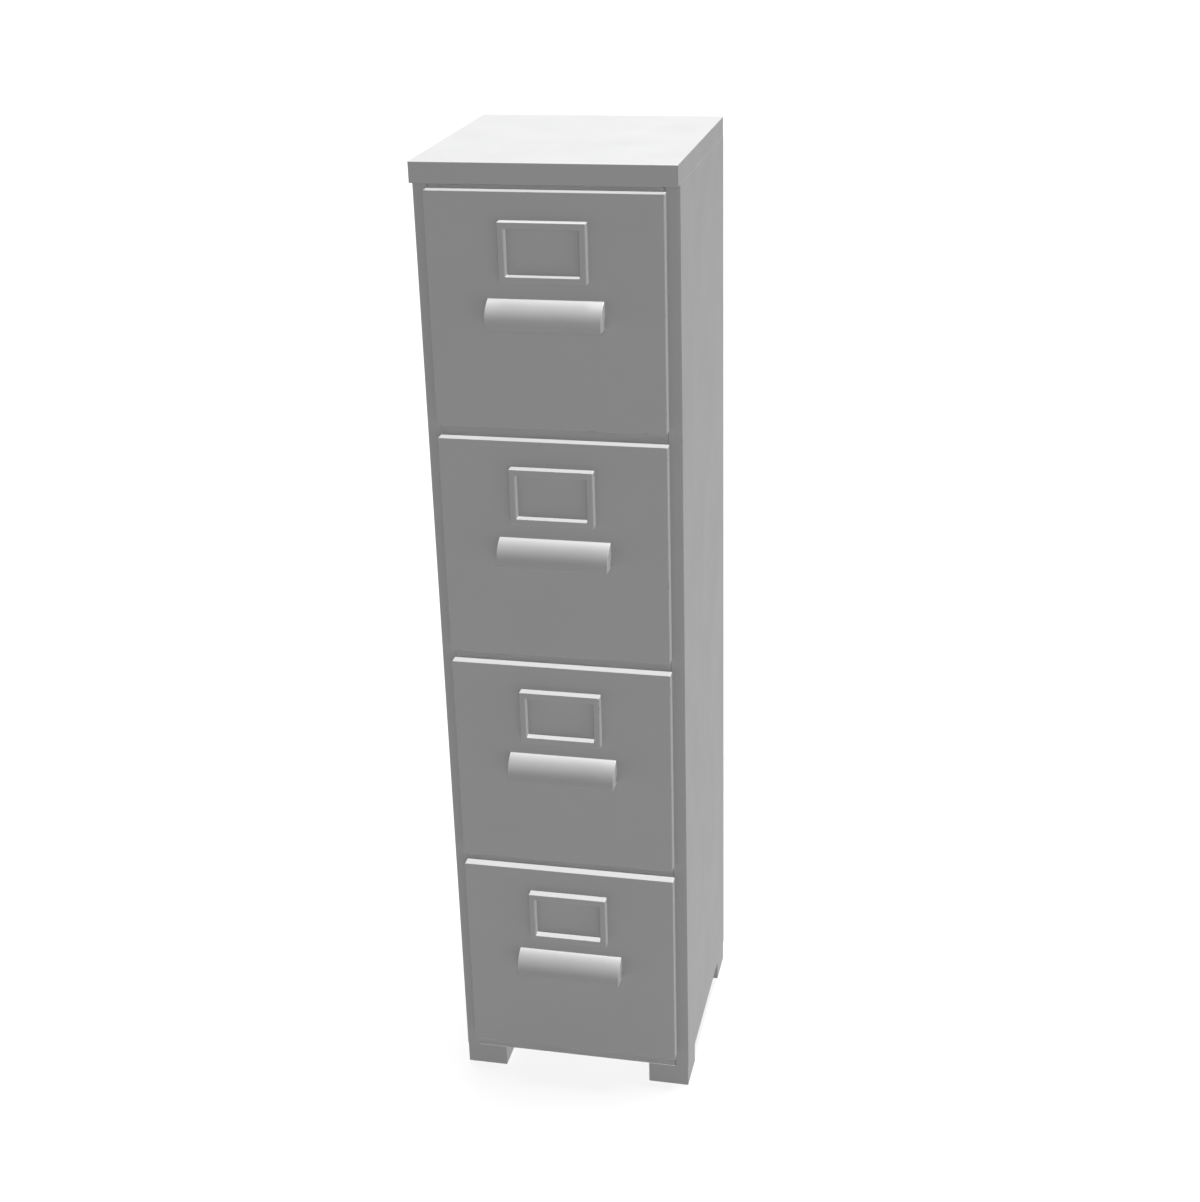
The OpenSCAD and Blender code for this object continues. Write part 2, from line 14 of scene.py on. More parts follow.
import bpy
import numpy as np
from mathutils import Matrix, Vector

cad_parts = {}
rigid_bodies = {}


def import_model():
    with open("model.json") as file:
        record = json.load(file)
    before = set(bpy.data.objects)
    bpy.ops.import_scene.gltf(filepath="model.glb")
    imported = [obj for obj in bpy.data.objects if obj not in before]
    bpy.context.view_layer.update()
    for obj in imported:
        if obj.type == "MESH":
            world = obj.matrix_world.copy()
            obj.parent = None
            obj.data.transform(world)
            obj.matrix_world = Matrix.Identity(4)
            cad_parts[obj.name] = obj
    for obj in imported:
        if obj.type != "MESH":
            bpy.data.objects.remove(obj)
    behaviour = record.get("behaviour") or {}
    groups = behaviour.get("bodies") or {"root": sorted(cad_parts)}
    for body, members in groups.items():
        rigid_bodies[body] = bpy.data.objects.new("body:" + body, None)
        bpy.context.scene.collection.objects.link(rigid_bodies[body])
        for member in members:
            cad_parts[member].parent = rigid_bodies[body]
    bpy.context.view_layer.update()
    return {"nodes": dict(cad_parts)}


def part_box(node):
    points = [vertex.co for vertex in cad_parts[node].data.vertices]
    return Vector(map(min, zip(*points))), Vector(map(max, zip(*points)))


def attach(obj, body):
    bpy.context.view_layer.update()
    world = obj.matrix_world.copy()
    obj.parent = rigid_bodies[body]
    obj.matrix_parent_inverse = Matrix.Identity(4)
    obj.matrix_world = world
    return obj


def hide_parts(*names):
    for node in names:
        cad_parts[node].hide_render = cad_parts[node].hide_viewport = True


LOG = logging.getLogger("filing_cabinet")
MM = 0.001
AXES = "xyz"
# Segments of a bend, and how far from it the point on the flat beside it stands.
BEND_STEPS = 6
SUPPORT = 0.35 * MM
# Radius of an edge that is only cut, and the angle from which an edge is shaded sharp.
SHARP = 0.1 * MM
SHARP_FROM = math.radians(32)
PLATE_CORNER = 0.6 * MM
# How much a rounded corner counts as an edge, where a bend counts as 1.
CORNER_EDGE = 0.5
EDGE_ATTRIBUTE = "edge"

Array = np.ndarray
Triple = tuple[float, float, float]
Rect = tuple[float, float, float, float]
Socket = bpy.types.NodeSocket
Finish = bpy.types.Material
Piece = bpy.types.Object


# --- Surfaces ---


class Ends(Enum):
    """How the first and last row of a loft are closed: not at all, by a flat face whose wear stays
    at nothing, or by the cut end of a folded sheet."""

    OPEN = "open"
    FACE = "face"
    CUT = "cut"


@dataclass
class Shell:
    """A skin: its points, its faces and how far each point lies on a bend or an edge.

    Attributes:
        points: One row of x, y, z for each point.
        faces: One row of four point numbers for each face.
        edge: From 0 on a flat to 1 on a bend or a cut edge, one for each point.
    """

    points: Array
    faces: Array
    edge: Array

    def outward(self) -> "Shell":
        """Turns the faces outwards.

        The volume of a closed skin is a sixth of the sum, over the two triangles of each face, of the
        triple product of their corners; it is negative for a skin that is inside out.

        Returns:
            This shell, with every face reversed if its volume is negative.
        """
        a, b, c, d = (self.points[self.faces[:, k]] - self.points[0] for k in range(4))
        if np.sum(a * (np.cross(b, c) + np.cross(c, d))) < 0:
            self.faces = self.faces[:, ::-1]
        return self


def grid_faces(rows: int, columns: int, wrap_rows: bool, wrap_columns: bool = True) -> Array:
    """Numbers the four corners of every cell of a grid of points stored row by row.

    Args:
        rows: Number of rows of points.
        columns: Number of points in each row.
        wrap_rows: Whether the last row joins the first.
        wrap_columns: Whether the last point of a row joins its first.

    Returns:
        An array of four point numbers for each face.
    """
    r = np.arange(rows if wrap_rows else rows - 1)[:, None]
    c = np.arange(columns if wrap_columns else columns - 1)[None, :]
    r2, c2 = (r + 1) % rows, (c + 1) % columns
    corners = [r * columns + c, r * columns + c2, r2 * columns + c2, r2 * columns + c]
    return np.stack(np.broadcast_arrays(*corners), axis=-1).reshape(-1, 4)


def loft(points: Array, edge: Array, ends: Ends, wrap_rows: bool = False) -> Shell:
    """Skins a stack of closed rings.

    A closed end is a strip of faces across the ring: point i faces point -1 - i. On a folded sheet the
    strip joins its two sides. On a rounded rectangle it runs from corner to corner, starting half way
    round the first corner, an eighth of the ring.

    Args:
        points: Rows by columns by 3, each row a closed ring.
        edge: Rows by columns, the edge value of each point.
        ends: How the first and the last ring are closed.
        wrap_rows: Whether the last ring joins the first, which leaves no ends.

    Returns:
        The skin, facing outwards.
    """
    rows, columns = points.shape[:2]
    faces = [grid_faces(rows, columns, wrap_rows)]
    if ends is not Ends.OPEN:
        i = np.arange(columns // 2 - 1)
        start = columns // 8 if ends is Ends.FACE else 0
        strip = (np.stack([i, columns - 1 - i, columns - 2 - i, i + 1], axis=-1) + start) % columns
        faces += [strip, (rows - 1) * columns + strip[:, ::-1]]
    if ends is Ends.FACE:
        edge = np.concatenate([0 * edge[:1], edge[1:-1], 0 * edge[-1:]])
    return Shell(points.reshape(-1, 3), np.concatenate(faces), edge.reshape(-1)).outward()


def fillet(path: Array, radius: float) -> tuple[Array, Array, Array]:
    """Rounds the corners of an open path with arcs, and adds a point on the flat beside each arc.

    At a corner the direction turns by an angle; the arc starts radius * tan(angle / 2) before the
    corner and its points are the arc's centre plus the radius, turned in equal steps.

    Args:
        path: Rows of 2 coordinates.
        radius: Radius of the arcs.

    Returns:
        The points, their unit directions, and 1 for each point on an arc and 0 for the others.
    """
    steps = np.diff(path, axis=0)
    ways = steps / np.linalg.norm(steps, axis=1, keepdims=True)
    points, directions, on_arc = [path[:1]], [ways[:1]], [np.zeros(1)]
    for corner, before, after in zip(path[1:-1], ways[:-1], ways[1:]):
        turn = math.atan2(before[0] * after[1] - before[1] * after[0], float(before @ after))
        reach = radius * math.tan(abs(turn) / 2)
        side = np.array([-before[1], before[0]]) * math.copysign(1.0, turn)
        angle = np.linspace(0.0, abs(turn), BEND_STEPS + 1)[:, None]
        arc = corner - before * reach + side * radius * (1 - np.cos(angle)) + before * radius * np.sin(angle)
        along = before * np.cos(angle) + side * np.sin(angle)
        points += [arc[:1] - before * SUPPORT, arc, arc[-1:] + after * SUPPORT]
        directions += [before[None], along, after[None]]
        on_arc += [np.zeros(1), np.ones(BEND_STEPS + 1), np.zeros(1)]
    points.append(path[-1:])
    directions.append(ways[-1:])
    on_arc.append(np.zeros(1))
    return np.concatenate(points), np.concatenate(directions), np.concatenate(on_arc)


def in_order(points: Array, axes: str) -> Array:
    """Puts points whose three coordinates lie along the named axes, such as "yzx", in x, y, z order."""
    return points[:, :, [axes.index(name) for name in AXES]]


def folded_sheet(path: list[tuple[float, float]], thickness: float, bend: float,
                 stations: tuple[float, float], axes: str) -> Shell:
    """A strip of sheet folded along a path, and carried straight along the third axis.

    The path is the middle of the sheet. Each face lies half the thickness to one side of it, so a
    bend of radius bend outside has bend less half the thickness in the middle.

    Args:
        path: The corners of the middle of the sheet.
        thickness: Thickness of the sheet.
        bend: Outer radius of the bends.
        stations: Where the strip starts and ends along the third axis.
        axes: The axes of the path and of the stations, such as "yzx".

    Returns:
        The closed skin of the strip.
    """
    middle, ways, on_arc = fillet(np.array(path), bend - thickness / 2)
    aside = np.stack([-ways[:, 1], ways[:, 0]], axis=-1) * thickness / 2
    outline = np.concatenate([middle + aside, (middle - aside)[::-1]])
    edge = np.concatenate([on_arc, on_arc[::-1]])
    rows = [np.c_[outline, np.full(len(outline), station)] for station in stations]
    return loft(in_order(np.stack(rows), axes), np.tile(edge, (2, 1)), Ends.CUT)


def ring_rows(rows: list[tuple[float, ...]], support: float = SUPPORT) -> tuple[Array, Array]:
    """Rounded rectangles, one for each row, each with the same number of points.

    A ring runs round four corners. Each corner is a quarter circle about a centre one corner radius
    inside both sides, with one more point on the flat before it and after it.

    Args:
        rows: For each ring: lowest and highest first coordinate, lowest and highest second
            coordinate, corner radius and depth.
        support: Distance of the points on the flats from the corners.

    Returns:
        Rows by points by 3 (first, second, depth), and 1 for each point on a corner, 0 otherwise.
    """
    values = np.array(rows, float)
    low_a, high_a, low_b, high_b, corner, depth = (values[:, k, None, None] for k in range(6))
    quarter = np.arange(4)[None, :, None]
    angle = (quarter + np.linspace(0.0, 1.0, BEND_STEPS + 1)[None, None, :]) * math.pi / 2
    right, top = np.isin(quarter, (0, 3)), np.isin(quarter, (0, 1))
    centre_a = np.where(right, high_a - corner, low_a + corner)
    centre_b = np.where(top, high_b - corner, low_b + corner)
    a = centre_a + corner * np.cos(angle)
    b = centre_b + corner * np.sin(angle)
    first, last = angle[..., :1], angle[..., -1:]
    before_a, after_a = a[..., :1] + support * np.sin(first), a[..., -1:] - support * np.sin(last)
    before_b, after_b = b[..., :1] - support * np.cos(first), b[..., -1:] + support * np.cos(last)
    a = np.concatenate([before_a, a, after_a], axis=-1)
    b = np.concatenate([before_b, b, after_b], axis=-1)
    count = 4 * (BEND_STEPS + 3)
    points = np.stack([a.reshape(len(rows), count), b.reshape(len(rows), count),
                       np.broadcast_to(depth[..., 0], (len(rows), count))], axis=-1)
    corner_mark = np.tile(np.r_[0.0, np.ones(BEND_STEPS + 1), 0.0], 4)
    return points, np.broadcast_to(corner_mark, (len(rows), count))


def inset_by(rect: Rect, inset: float) -> Rect:
    """Moves all four sides of a rectangle inwards."""
    return rect[0] + inset, rect[1] - inset, rect[2] + inset, rect[3] - inset


def edge_values(profile: list[Triple], corners: Array, corner_edge: float = CORNER_EDGE) -> Array:
    """Gives each point its profile row's edge value, or its corner's if that is higher."""
    return np.maximum(np.array(profile)[:, 2:], corner_edge * corners)


def bend_rows(inset: float, depth: float, radius: float, opening: bool) -> list[Triple]:
    """The rows of a quarter bend between a face and a wall, as inset, depth and edge value.

    Args:
        inset: Distance of the wall from the outer rectangle.
        depth: Depth of the face.
        radius: Radius of the bend.
        opening: True to run from the face to the wall, False to run back.

    Returns:
        One row for each step, with a row on the face and one on the wall beside the bend.
    """
    angle = np.linspace(0.0, math.pi / 2, BEND_STEPS + 1)
    rows = [(inset + radius + SUPPORT, depth, 0.0)]
    rows += [(inset + radius * (1 - math.sin(t)), depth + radius * (1 - math.cos(t)), 1.0) for t in angle]
    rows.append((inset, depth + radius + SUPPORT, 0.0))
    return rows if opening else rows[::-1]


@dataclass(frozen=True)
class Pan:
    """A folded pan: a flat face with its edges bent back, open behind.

    Attributes:
        thickness: Thickness of the sheet.
        bend: Outer radius of the folded edges.
        corner: Outer radius of the corners.
    """

    thickness: float = 1.0 * MM
    bend: float = 1.1 * MM
    corner: float = 1.4 * MM

    def shell(self, rect: Rect, face: float, back: float, axes: str) -> Shell:
        """Builds the pan as rings from the middle of its face, over the bend and down the wall, round
        the cut edge and back up inside.

        Args:
            rect: Lowest and highest first coordinate, then lowest and highest second coordinate.
            face: Place of the face along the third axis.
            back: Place of the cut edge along the third axis.
            axes: The axes of the rectangle and of the depth, such as "xzy".

        Returns:
            The closed skin of the pan.
        """
        deep = abs(back - face)
        inner = max(self.bend - self.thickness, SHARP)
        profile = bend_rows(0.0, 0.0, self.bend, True)
        profile += [(0.0, deep - SUPPORT, 0.0), (0.0, deep, 1.0), (self.thickness, deep, 1.0),
                    (self.thickness, deep - SUPPORT, 0.0)]
        profile += bend_rows(self.thickness, self.thickness, inner, False)
        rows = [(*inset_by(rect, i), max(self.corner - i, SHARP), d) for i, d, _ in profile]
        points, corners = ring_rows(rows)
        points[:, :, 2] = face + math.copysign(1.0, back - face) * points[:, :, 2]
        return loft(in_order(points, axes), edge_values(profile, corners), Ends.FACE)


def plate(low: Triple, high: Triple, relief: float = 0.15 * MM) -> Shell:
    """A flat plate with its edges eased, as rings from its lower face to its upper face.

    Args:
        low: Lowest corner.
        high: Highest corner.
        relief: Size of the chamfer along its edges.

    Returns:
        The closed skin of the plate.
    """
    rect = (low[0], high[0], low[1], high[1])
    side = min(high[0] - low[0], high[1] - low[1])
    # A narrow plate keeps half of each side straight, so that no ring crosses itself.
    corner, support = min(PLATE_CORNER, side / 4), min(SUPPORT, side / 8)
    levels = [(relief, low[2]), (0.0, low[2] + relief), (0.0, high[2] - relief), (relief, high[2])]
    points, _ = ring_rows([(*inset_by(rect, i), corner - i, z) for i, z in levels], support)
    return loft(points, np.zeros(points.shape[:2]), Ends.FACE)


def mirrored(shell: Shell) -> Shell:
    """Makes the mirror image of a shell across x = 0, facing outwards."""
    return Shell(shell.points * np.array([-1.0, 1.0, 1.0]), shell.faces, shell.edge).outward()


def build_piece(name: str, shells: list[Shell]) -> Piece:
    """Puts skins into one mesh object at the origin.

    Args:
        name: Name of the object.
        shells: The skins.

    Returns:
        The object, smooth over its bends and sharp over its cut edges, with an edge attribute.
    """
    starts = np.cumsum([0] + [len(shell.points) for shell in shells[:-1]])
    points = np.concatenate([shell.points for shell in shells])
    faces = np.concatenate([shell.faces + start for shell, start in zip(shells, starts)])
    mesh = bpy.data.meshes.new(name)
    mesh.from_pydata(points.tolist(), [], faces.tolist())
    attribute = mesh.attributes.new(EDGE_ATTRIBUTE, "FLOAT", "POINT")
    attribute.data.foreach_set("value", np.concatenate([shell.edge for shell in shells]).astype(np.float32))
    mesh.validate()
    mesh.shade_smooth()
    mesh.set_sharp_from_angle(angle=SHARP_FROM)
    piece = bpy.data.objects.new(name, mesh)
    bpy.context.scene.collection.objects.link(piece)
    return piece


# --- Finishes ---


@dataclass
class Recipe:
    """A material under construction: its node tree, and short ways to add and join nodes.

    Attributes:
        name: Name of the material.
        material: The material, made with the recipe.
    """

    name: str
    material: Finish = field(init=False)

    def __post_init__(self) -> None:
        """Makes the material with its surface shader."""
        self.material = bpy.data.materials.new(self.name)
        self.material.use_nodes = True
        self.nodes = self.material.node_tree.nodes
        self.links = self.material.node_tree.links
        self.shader = self.nodes["Principled BSDF"]
        self.place = self.nodes.new("ShaderNodeTexCoord").outputs["Object"]

    def set(self, **sockets: float) -> None:
        """Sets constants on the surface shader's own sockets, named with _ for a space."""
        for name, value in sockets.items():
            self.shader.inputs[name.replace("_", " ")].default_value = value

    def feed(self, value: Socket, name: str) -> None:
        """Joins a value to one of the surface shader's sockets."""
        self.links.new(value, self.shader.inputs[name])

    def add(self, kind: str, output: str | int, inputs: dict[str | int, object], **settings: str) -> Socket:
        """Adds a node, and joins or sets each of its inputs.

        Args:
            kind: Kind of the node.
            output: Name or number of the output that is wanted.
            inputs: For each input, by name or number, a socket to join to it or a constant.
            **settings: The node's own settings by name.

        Returns:
            The output.
        """
        node = self.nodes.new(f"ShaderNode{kind}")
        for name, value in settings.items():
            setattr(node, name, value)
        for name, value in inputs.items():
            if isinstance(value, Socket):
                self.links.new(value, node.inputs[name])
            else:
                node.inputs[name].default_value = value
        return node.outputs[output]

    def stretched(self, scale: Triple) -> Socket:
        """Scales the object coordinates along x, y and z."""
        return self.add("Mapping", "Vector", {"Vector": self.place, "Scale": scale})

    def noise(self, scale: float, detail: float = 2.0, roughness: float = 0.5,
              vector: Socket | None = None) -> Socket:
        """Adds a noise of scale cells in a metre and detail finer layers, about 0.5 on average."""
        sizes = {"Scale": scale, "Detail": detail, "Roughness": roughness}
        return self.add("TexNoise", "Fac", {"Vector": vector or self.place, **sizes})

    def spread(self, value: Socket, low: float, high: float, start: float = 0.0, stop: float = 1.0) -> Socket:
        """Maps the range from low to high to the one from start to stop, held at both ends."""
        ends = {"From Min": low, "From Max": high, "To Min": start, "To Max": stop}
        return self.add("MapRange", "Result", {"Value": value, **ends})

    def times(self, first: Socket, second: Socket | float) -> Socket:
        """Multiplies two values."""
        return self.add("Math", "Value", {0: first, 1: second}, operation="MULTIPLY")

    def blend(self, amount: Socket, first: Socket | Triple, second: Socket | Triple) -> Socket:
        """Mixes two colours, from the first where the amount is 0 to the second where it is 1."""
        pair = [(*colour, 1.0) if isinstance(colour, tuple) else colour for colour in (first, second)]
        return self.add("Mix", 2, {"Factor": amount, 6: pair[0], 7: pair[1]}, data_type="RGBA")

    def bump(self, height: Socket, distance: float, strength: float = 1.0,
             under: Socket | None = None) -> Socket:
        """Turns a height, in which 1 stands for a distance in metres, into a normal on the one under it."""
        inputs = {"Distance": distance, "Strength": strength, "Height": height}
        return self.add("Bump", "Normal", inputs | ({"Normal": under} if under else {}))


@dataclass(frozen=True)
class Enamel:
    """Satin stove enamel on sheet steel, with an orange-peel skin and a little wear along its edges.

    Attributes:
        name: Name of the finish.
        grey: Reflectance of the paint.
        gloss_low: Roughness where the paint is smoothest.
        gloss_high: Roughness where it is dullest.
        peel: Height of the orange peel.
        wear: Share of an edge that is worn.
        clouding: Share by which the grey drifts up and down.
        dent: Height of the sheet's own broad waves.
        bare: Colour of what shows where the paint is worn.
    """

    name: str = "grey_enamel"
    grey: float = 0.20
    gloss_low: float = 0.48
    gloss_high: float = 0.54
    peel: float = 0.012 * MM
    wear: float = 0.35
    clouding: float = 0.012
    dent: float = 0.10 * MM
    bare: Triple = (0.13, 0.13, 0.133)

    def material(self) -> Finish:
        """Builds the enamel.

        Returns:
            The material.
        """
        r = Recipe(self.name)
        r.set(Metallic=0.0, IOR=1.5, Specular_IOR_Level=0.4, Coat_Weight=0.05, Coat_Roughness=0.3)
        # Broad clouds, a hair bluer where they are dark, and flecks a millimetre across.
        cloud = r.spread(r.noise(11.0, 4.0), 0.3, 0.7)
        speck = r.spread(r.noise(900.0, 1.0), 0.35, 0.65)
        light, dark = self.grey * (1.0 + self.clouding), self.grey * (1.0 - self.clouding)
        tone = r.blend(cloud, (dark, dark, dark * 1.006), (light, light, light * 1.002))
        flecked = r.blend(r.times(speck, 0.09), tone, (self.grey * 0.88,) * 3)
        # Edges are rubbed a little lighter all along, and worn through in spots.
        edge = r.add("Attribute", "Fac", {}, attribute_name=EDGE_ATTRIBUTE)
        scuff = r.spread(r.noise(85.0, 4.0, 0.65), 0.66 - 0.2 * self.wear, 0.74)
        worn = r.times(edge, scuff)
        burnished = r.blend(r.times(edge, 0.22), flecked, (self.grey * 1.12,) * 3)
        r.feed(r.blend(worn, burnished, self.bare), "Base Color")
        streaks = r.noise(14.0, 5.0, 0.6, r.stretched((1.0, 1.0, 0.6)))
        r.feed(r.spread(streaks, 0.3, 0.7, self.gloss_low, self.gloss_high), "Roughness")
        # Orange peel, the paint's own fine grain, and the slight waves of the sheet.
        peel = r.bump(r.noise(420.0, 2.0, 0.45), self.peel)
        grain = r.bump(r.noise(1900.0, 1.0), self.peel * 0.25, 1.0, peel)
        r.feed(r.bump(r.noise(9.0, 1.0), self.dent, 0.4, grain), "Normal")
        return r.material


@dataclass(frozen=True)
class ZincPlate:
    """Bright zinc plating on drawn steel, with fine lines along its length and pale bloom.

    Attributes:
        name: Name of the finish.
        tint: Colour of the metal.
        lines: Coordinate scale across and along the drawing lines.
        roughness: Lowest and highest roughness.
        groove: Depth of the drawing lines.
    """

    name: str = "zinc_plate"
    tint: Triple = (0.50, 0.51, 0.53)
    lines: Triple = (60.0, 1.0, 60.0)
    roughness: tuple[float, float] = (0.28, 0.46)
    groove: float = 0.006 * MM

    def material(self) -> Finish:
        """Builds the plating.

        Returns:
            The material.
        """
        r = Recipe(self.name)
        r.set(Metallic=1.0)
        bloom = r.spread(r.noise(24.0, 4.0, 0.6), 0.42, 0.68)
        drawn = r.noise(22.0, 3.0, 0.6, r.stretched(self.lines))
        dull = tuple(0.82 * c for c in self.tint)
        r.feed(r.blend(bloom, self.tint, dull), "Base Color")
        r.feed(r.spread(drawn, 0.3, 0.7, *self.roughness), "Roughness")
        r.feed(r.bump(drawn, self.groove), "Normal")
        return r.material


@dataclass(frozen=True)
class GlidePlastic:
    """Dark moulded plastic with a fine spark-eroded grain, scuffed where it meets the floor.

    Attributes:
        name: Name of the finish.
        tone: Colour of the plastic.
        scuffed: Colour where it is scuffed.
        grain: Height of the grain.
    """

    name: str = "glide_plastic"
    tone: Triple = (0.035, 0.035, 0.037)
    scuffed: Triple = (0.11, 0.11, 0.11)
    grain: float = 0.02 * MM

    def material(self) -> Finish:
        """Builds the plastic.

        Returns:
            The material.
        """
        r = Recipe(self.name)
        r.set(Metallic=0.0, IOR=1.46)
        scuff = r.spread(r.noise(160.0, 5.0, 0.7), 0.52, 0.72)
        r.feed(r.blend(r.times(scuff, 0.6), self.tone, self.scuffed), "Base Color")
        r.feed(r.spread(r.noise(700.0, 2.0), 0.3, 0.7, 0.52, 0.72), "Roughness")
        r.feed(r.bump(r.noise(1500.0, 2.0), self.grain), "Normal")
        return r.material


class Finishes:
    """Every finish of the cabinet, each built once."""

    def __init__(self) -> None:
        """Builds the finishes."""
        self.case = Enamel().material()
        self.drawer = Enamel("drawer_enamel", 0.185, 0.50, 0.60, 0.010 * MM, 0.2).material()
        self.zinc = ZincPlate().material()
        self.upright = ZincPlate("upright_zinc", (0.46, 0.47, 0.49), (60.0, 60.0, 1.0)).material()
        self.bright = ZincPlate("ball_steel", (0.62, 0.63, 0.65), (20.0, 4.0, 20.0), (0.12, 0.24)).material()
        self.glide = GlidePlastic().material()


def dress(piece: Piece, finish: Finish) -> None:
    """Gives a piece one finish all over."""
    piece.data.materials.clear()
    piece.data.materials.append(finish)


def settle(piece: Piece, body: str, node: str | None, finish: Finish) -> None:
    """Finishes a piece, and puts it in the place of a node.

    Args:
        piece: The new piece.
        body: The body that it moves with.
        node: The node that it stands for, or None if it is an addition.
        finish: Its material.
    """
    dress(piece, finish)
    if node:
        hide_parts(node)
    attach(piece, body)
    LOG.info("%s: %d points on %s", piece.name, len(piece.data.vertices), body)


# --- The case ---


@dataclass
class Case:
    """The cap, panels, rails and base of the cabinet.

    Attributes:
        finishes: The finishes to dress it with.
        sheet: Thickness of the case sheet.
        bend: Outer radius of its folded edges.
        seam: Outer radius of the cap's lower edge, pressed tight on the panels.
        stile: Width of the stile beside the openings.
        hem: Depth of the hem behind the stile.
        flange: Width of the flanges along the top and the back.
        base_flange: Width of the flange over the feet.
        cap_lip: Width of the lip under the cap.
        cap_corner: Radius of the cap's corners.
        least_corner: Least radius of the rings that run inside those corners.
        lip_corner: Radius of the corners of the opening in the lip.
        gap: Gap between flanges that meet at a corner.
        hair: How far the back panel's side edges stop inside the case's sides.
    """

    finishes: Finishes
    sheet: float = 1.0 * MM
    bend: float = 1.2 * MM
    seam: float = 0.3 * MM
    stile: float = 18.5 * MM
    hem: float = 13.0 * MM
    flange: float = 14.0 * MM
    base_flange: float = 20.0 * MM
    cap_lip: float = 22.0 * MM
    cap_corner: float = 2.2 * MM
    least_corner: float = 0.2 * MM
    lip_corner: float = 0.6 * MM
    gap: float = 0.2 * MM
    hair: float = 0.02 * MM

    def __post_init__(self) -> None:
        """Reads the main planes of the case from the frame."""
        low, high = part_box("right_side_panel")
        self.half = high.x
        self.front = low.y
        self.bottom, self.top = low.z, high.z
        self.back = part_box("back_panel")[1].y
        self.rail_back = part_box("bottom_rail")[1].y
        self.opening = self.half - self.stile

    def folded(self, path: list[tuple[float, float]], stations: tuple[float, float], axes: str) -> Shell:
        """Folds a strip of the case's sheet along a path, and carries it between two stations."""
        return folded_sheet(path, self.sheet, self.bend, stations, axes)

    def cap(self) -> Shell:
        """Builds the cap: rings over its top, down its skirt, in along its lip and back inside.

        The rings shrink from the outer rectangle to the opening in the lip, which lies further from the
        front edge than from the others.

        Returns:
            The closed skin of the cap.
        """
        low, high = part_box("top_cap")
        t, deep = self.sheet, high.z - low.z
        outer = (low.x, high.x, low.y, high.y)
        lip = inset_by((low.x, high.x, self.front, high.y), self.cap_lip)
        outside = bend_rows(0.0, 0.0, self.bend, True)
        outside += [(i, deep - d, e) for i, d, e in bend_rows(0.0, 0.0, self.seam, False)]
        opening = [(self.cap_lip, deep, 1.0), (self.cap_lip, deep - t, 1.0)]
        inside = [(i, deep - d, e) for i, d, e in bend_rows(t, t, SHARP, True)]
        inside += bend_rows(t, t, self.bend - t, False)
        skirt = [(*inset_by(outer, i), max(self.cap_corner - i, self.least_corner), d)
                 for i, d, _ in outside + inside]
        turn = len(outside)
        rows = skirt[:turn] + [(*lip, self.lip_corner, d) for _, d, _ in opening] + skirt[turn:]
        points, corners = ring_rows(rows)
        points[:, :, 2] = high.z - points[:, :, 2]
        return loft(points, edge_values(outside + opening + inside, corners), Ends.FACE)

    def side(self) -> list[Shell]:
        """Builds the right side panel: one folded strip from its hem to its rear flange, carried up,
        with a flange along its top and its bottom.

        Returns:
            The skins of the strip and of the two flanges.
        """
        m = self.sheet / 2
        path = [(self.opening + m, self.front + self.hem), (self.opening + m, self.front + m),
                (self.half - m, self.front + m), (self.half - m, self.back - self.sheet - m),
                (self.half - self.flange, self.back - self.sheet - m)]
        wall = self.folded(path, (self.bottom, self.top), "xyz")
        inside = self.half - self.sheet
        rear = self.back - 2 * self.sheet
        top = plate((self.half - self.flange, self.front + self.bend, self.top - self.sheet),
                    (inside, rear, self.top))
        base = plate((self.half - self.base_flange, self.rail_back + self.gap, self.bottom),
                     (inside, rear, self.bottom + self.sheet))
        return [wall, top, base]

    def rear(self) -> list[Shell]:
        """Builds the back panel: one strip folded forward at its top and bottom, carried across, and
        the wider sheet behind the side flanges.

        Returns:
            The skins of the strip and of the sheet on each side of it.
        """
        m = self.sheet / 2
        inner = self.half - self.base_flange - self.gap
        path = [(self.back - self.sheet - self.flange, self.bottom + m), (self.back - m, self.bottom + m),
                (self.back - m, self.top - m), (self.back - self.sheet - self.flange, self.top - m)]
        middle = self.folded(path, (-inner, inner), "yzx")
        across = [(inner - m, self.back - m), (self.half - self.hair, self.back - m)]
        wings = [self.folded([(side * x, y) for x, y in across], (self.bottom, self.top), "xyz")
                 for side in (-1, 1)]
        return [middle, *wings]

    def rail(self, low: float, high: float) -> list[Shell]:
        """Builds one rail: a channel open behind, carried across the opening, with a plate at each end.

        Args:
            low: Height of its lower face.
            high: Height of its upper face.

        Returns:
            The skins of the channel and of its two end plates.
        """
        m = self.sheet / 2
        back, front = self.rail_back, self.front + m
        path = [(back, low + m), (front, low + m), (front, high - m), (back, high - m)]
        channel = self.folded(path, (-self.opening, self.opening), "yzx")
        end = plate((self.opening - self.sheet, self.front + self.sheet, low + self.sheet),
                    (self.opening, back, high - self.sheet))
        return [channel, end, mirrored(end)]

    def pan(self) -> list[Shell]:
        """Builds the base pan: a strip turned up in front and behind, carried across the case.

        Returns:
            The skin of the pan.
        """
        low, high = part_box("base_pan")
        m = self.sheet / 2
        path = [(low.y + m, high.z), (low.y + m, low.z + m), (high.y - m, low.z + m), (high.y - m, high.z)]
        return [self.folded(path, (low.x, high.x), "yzx")]

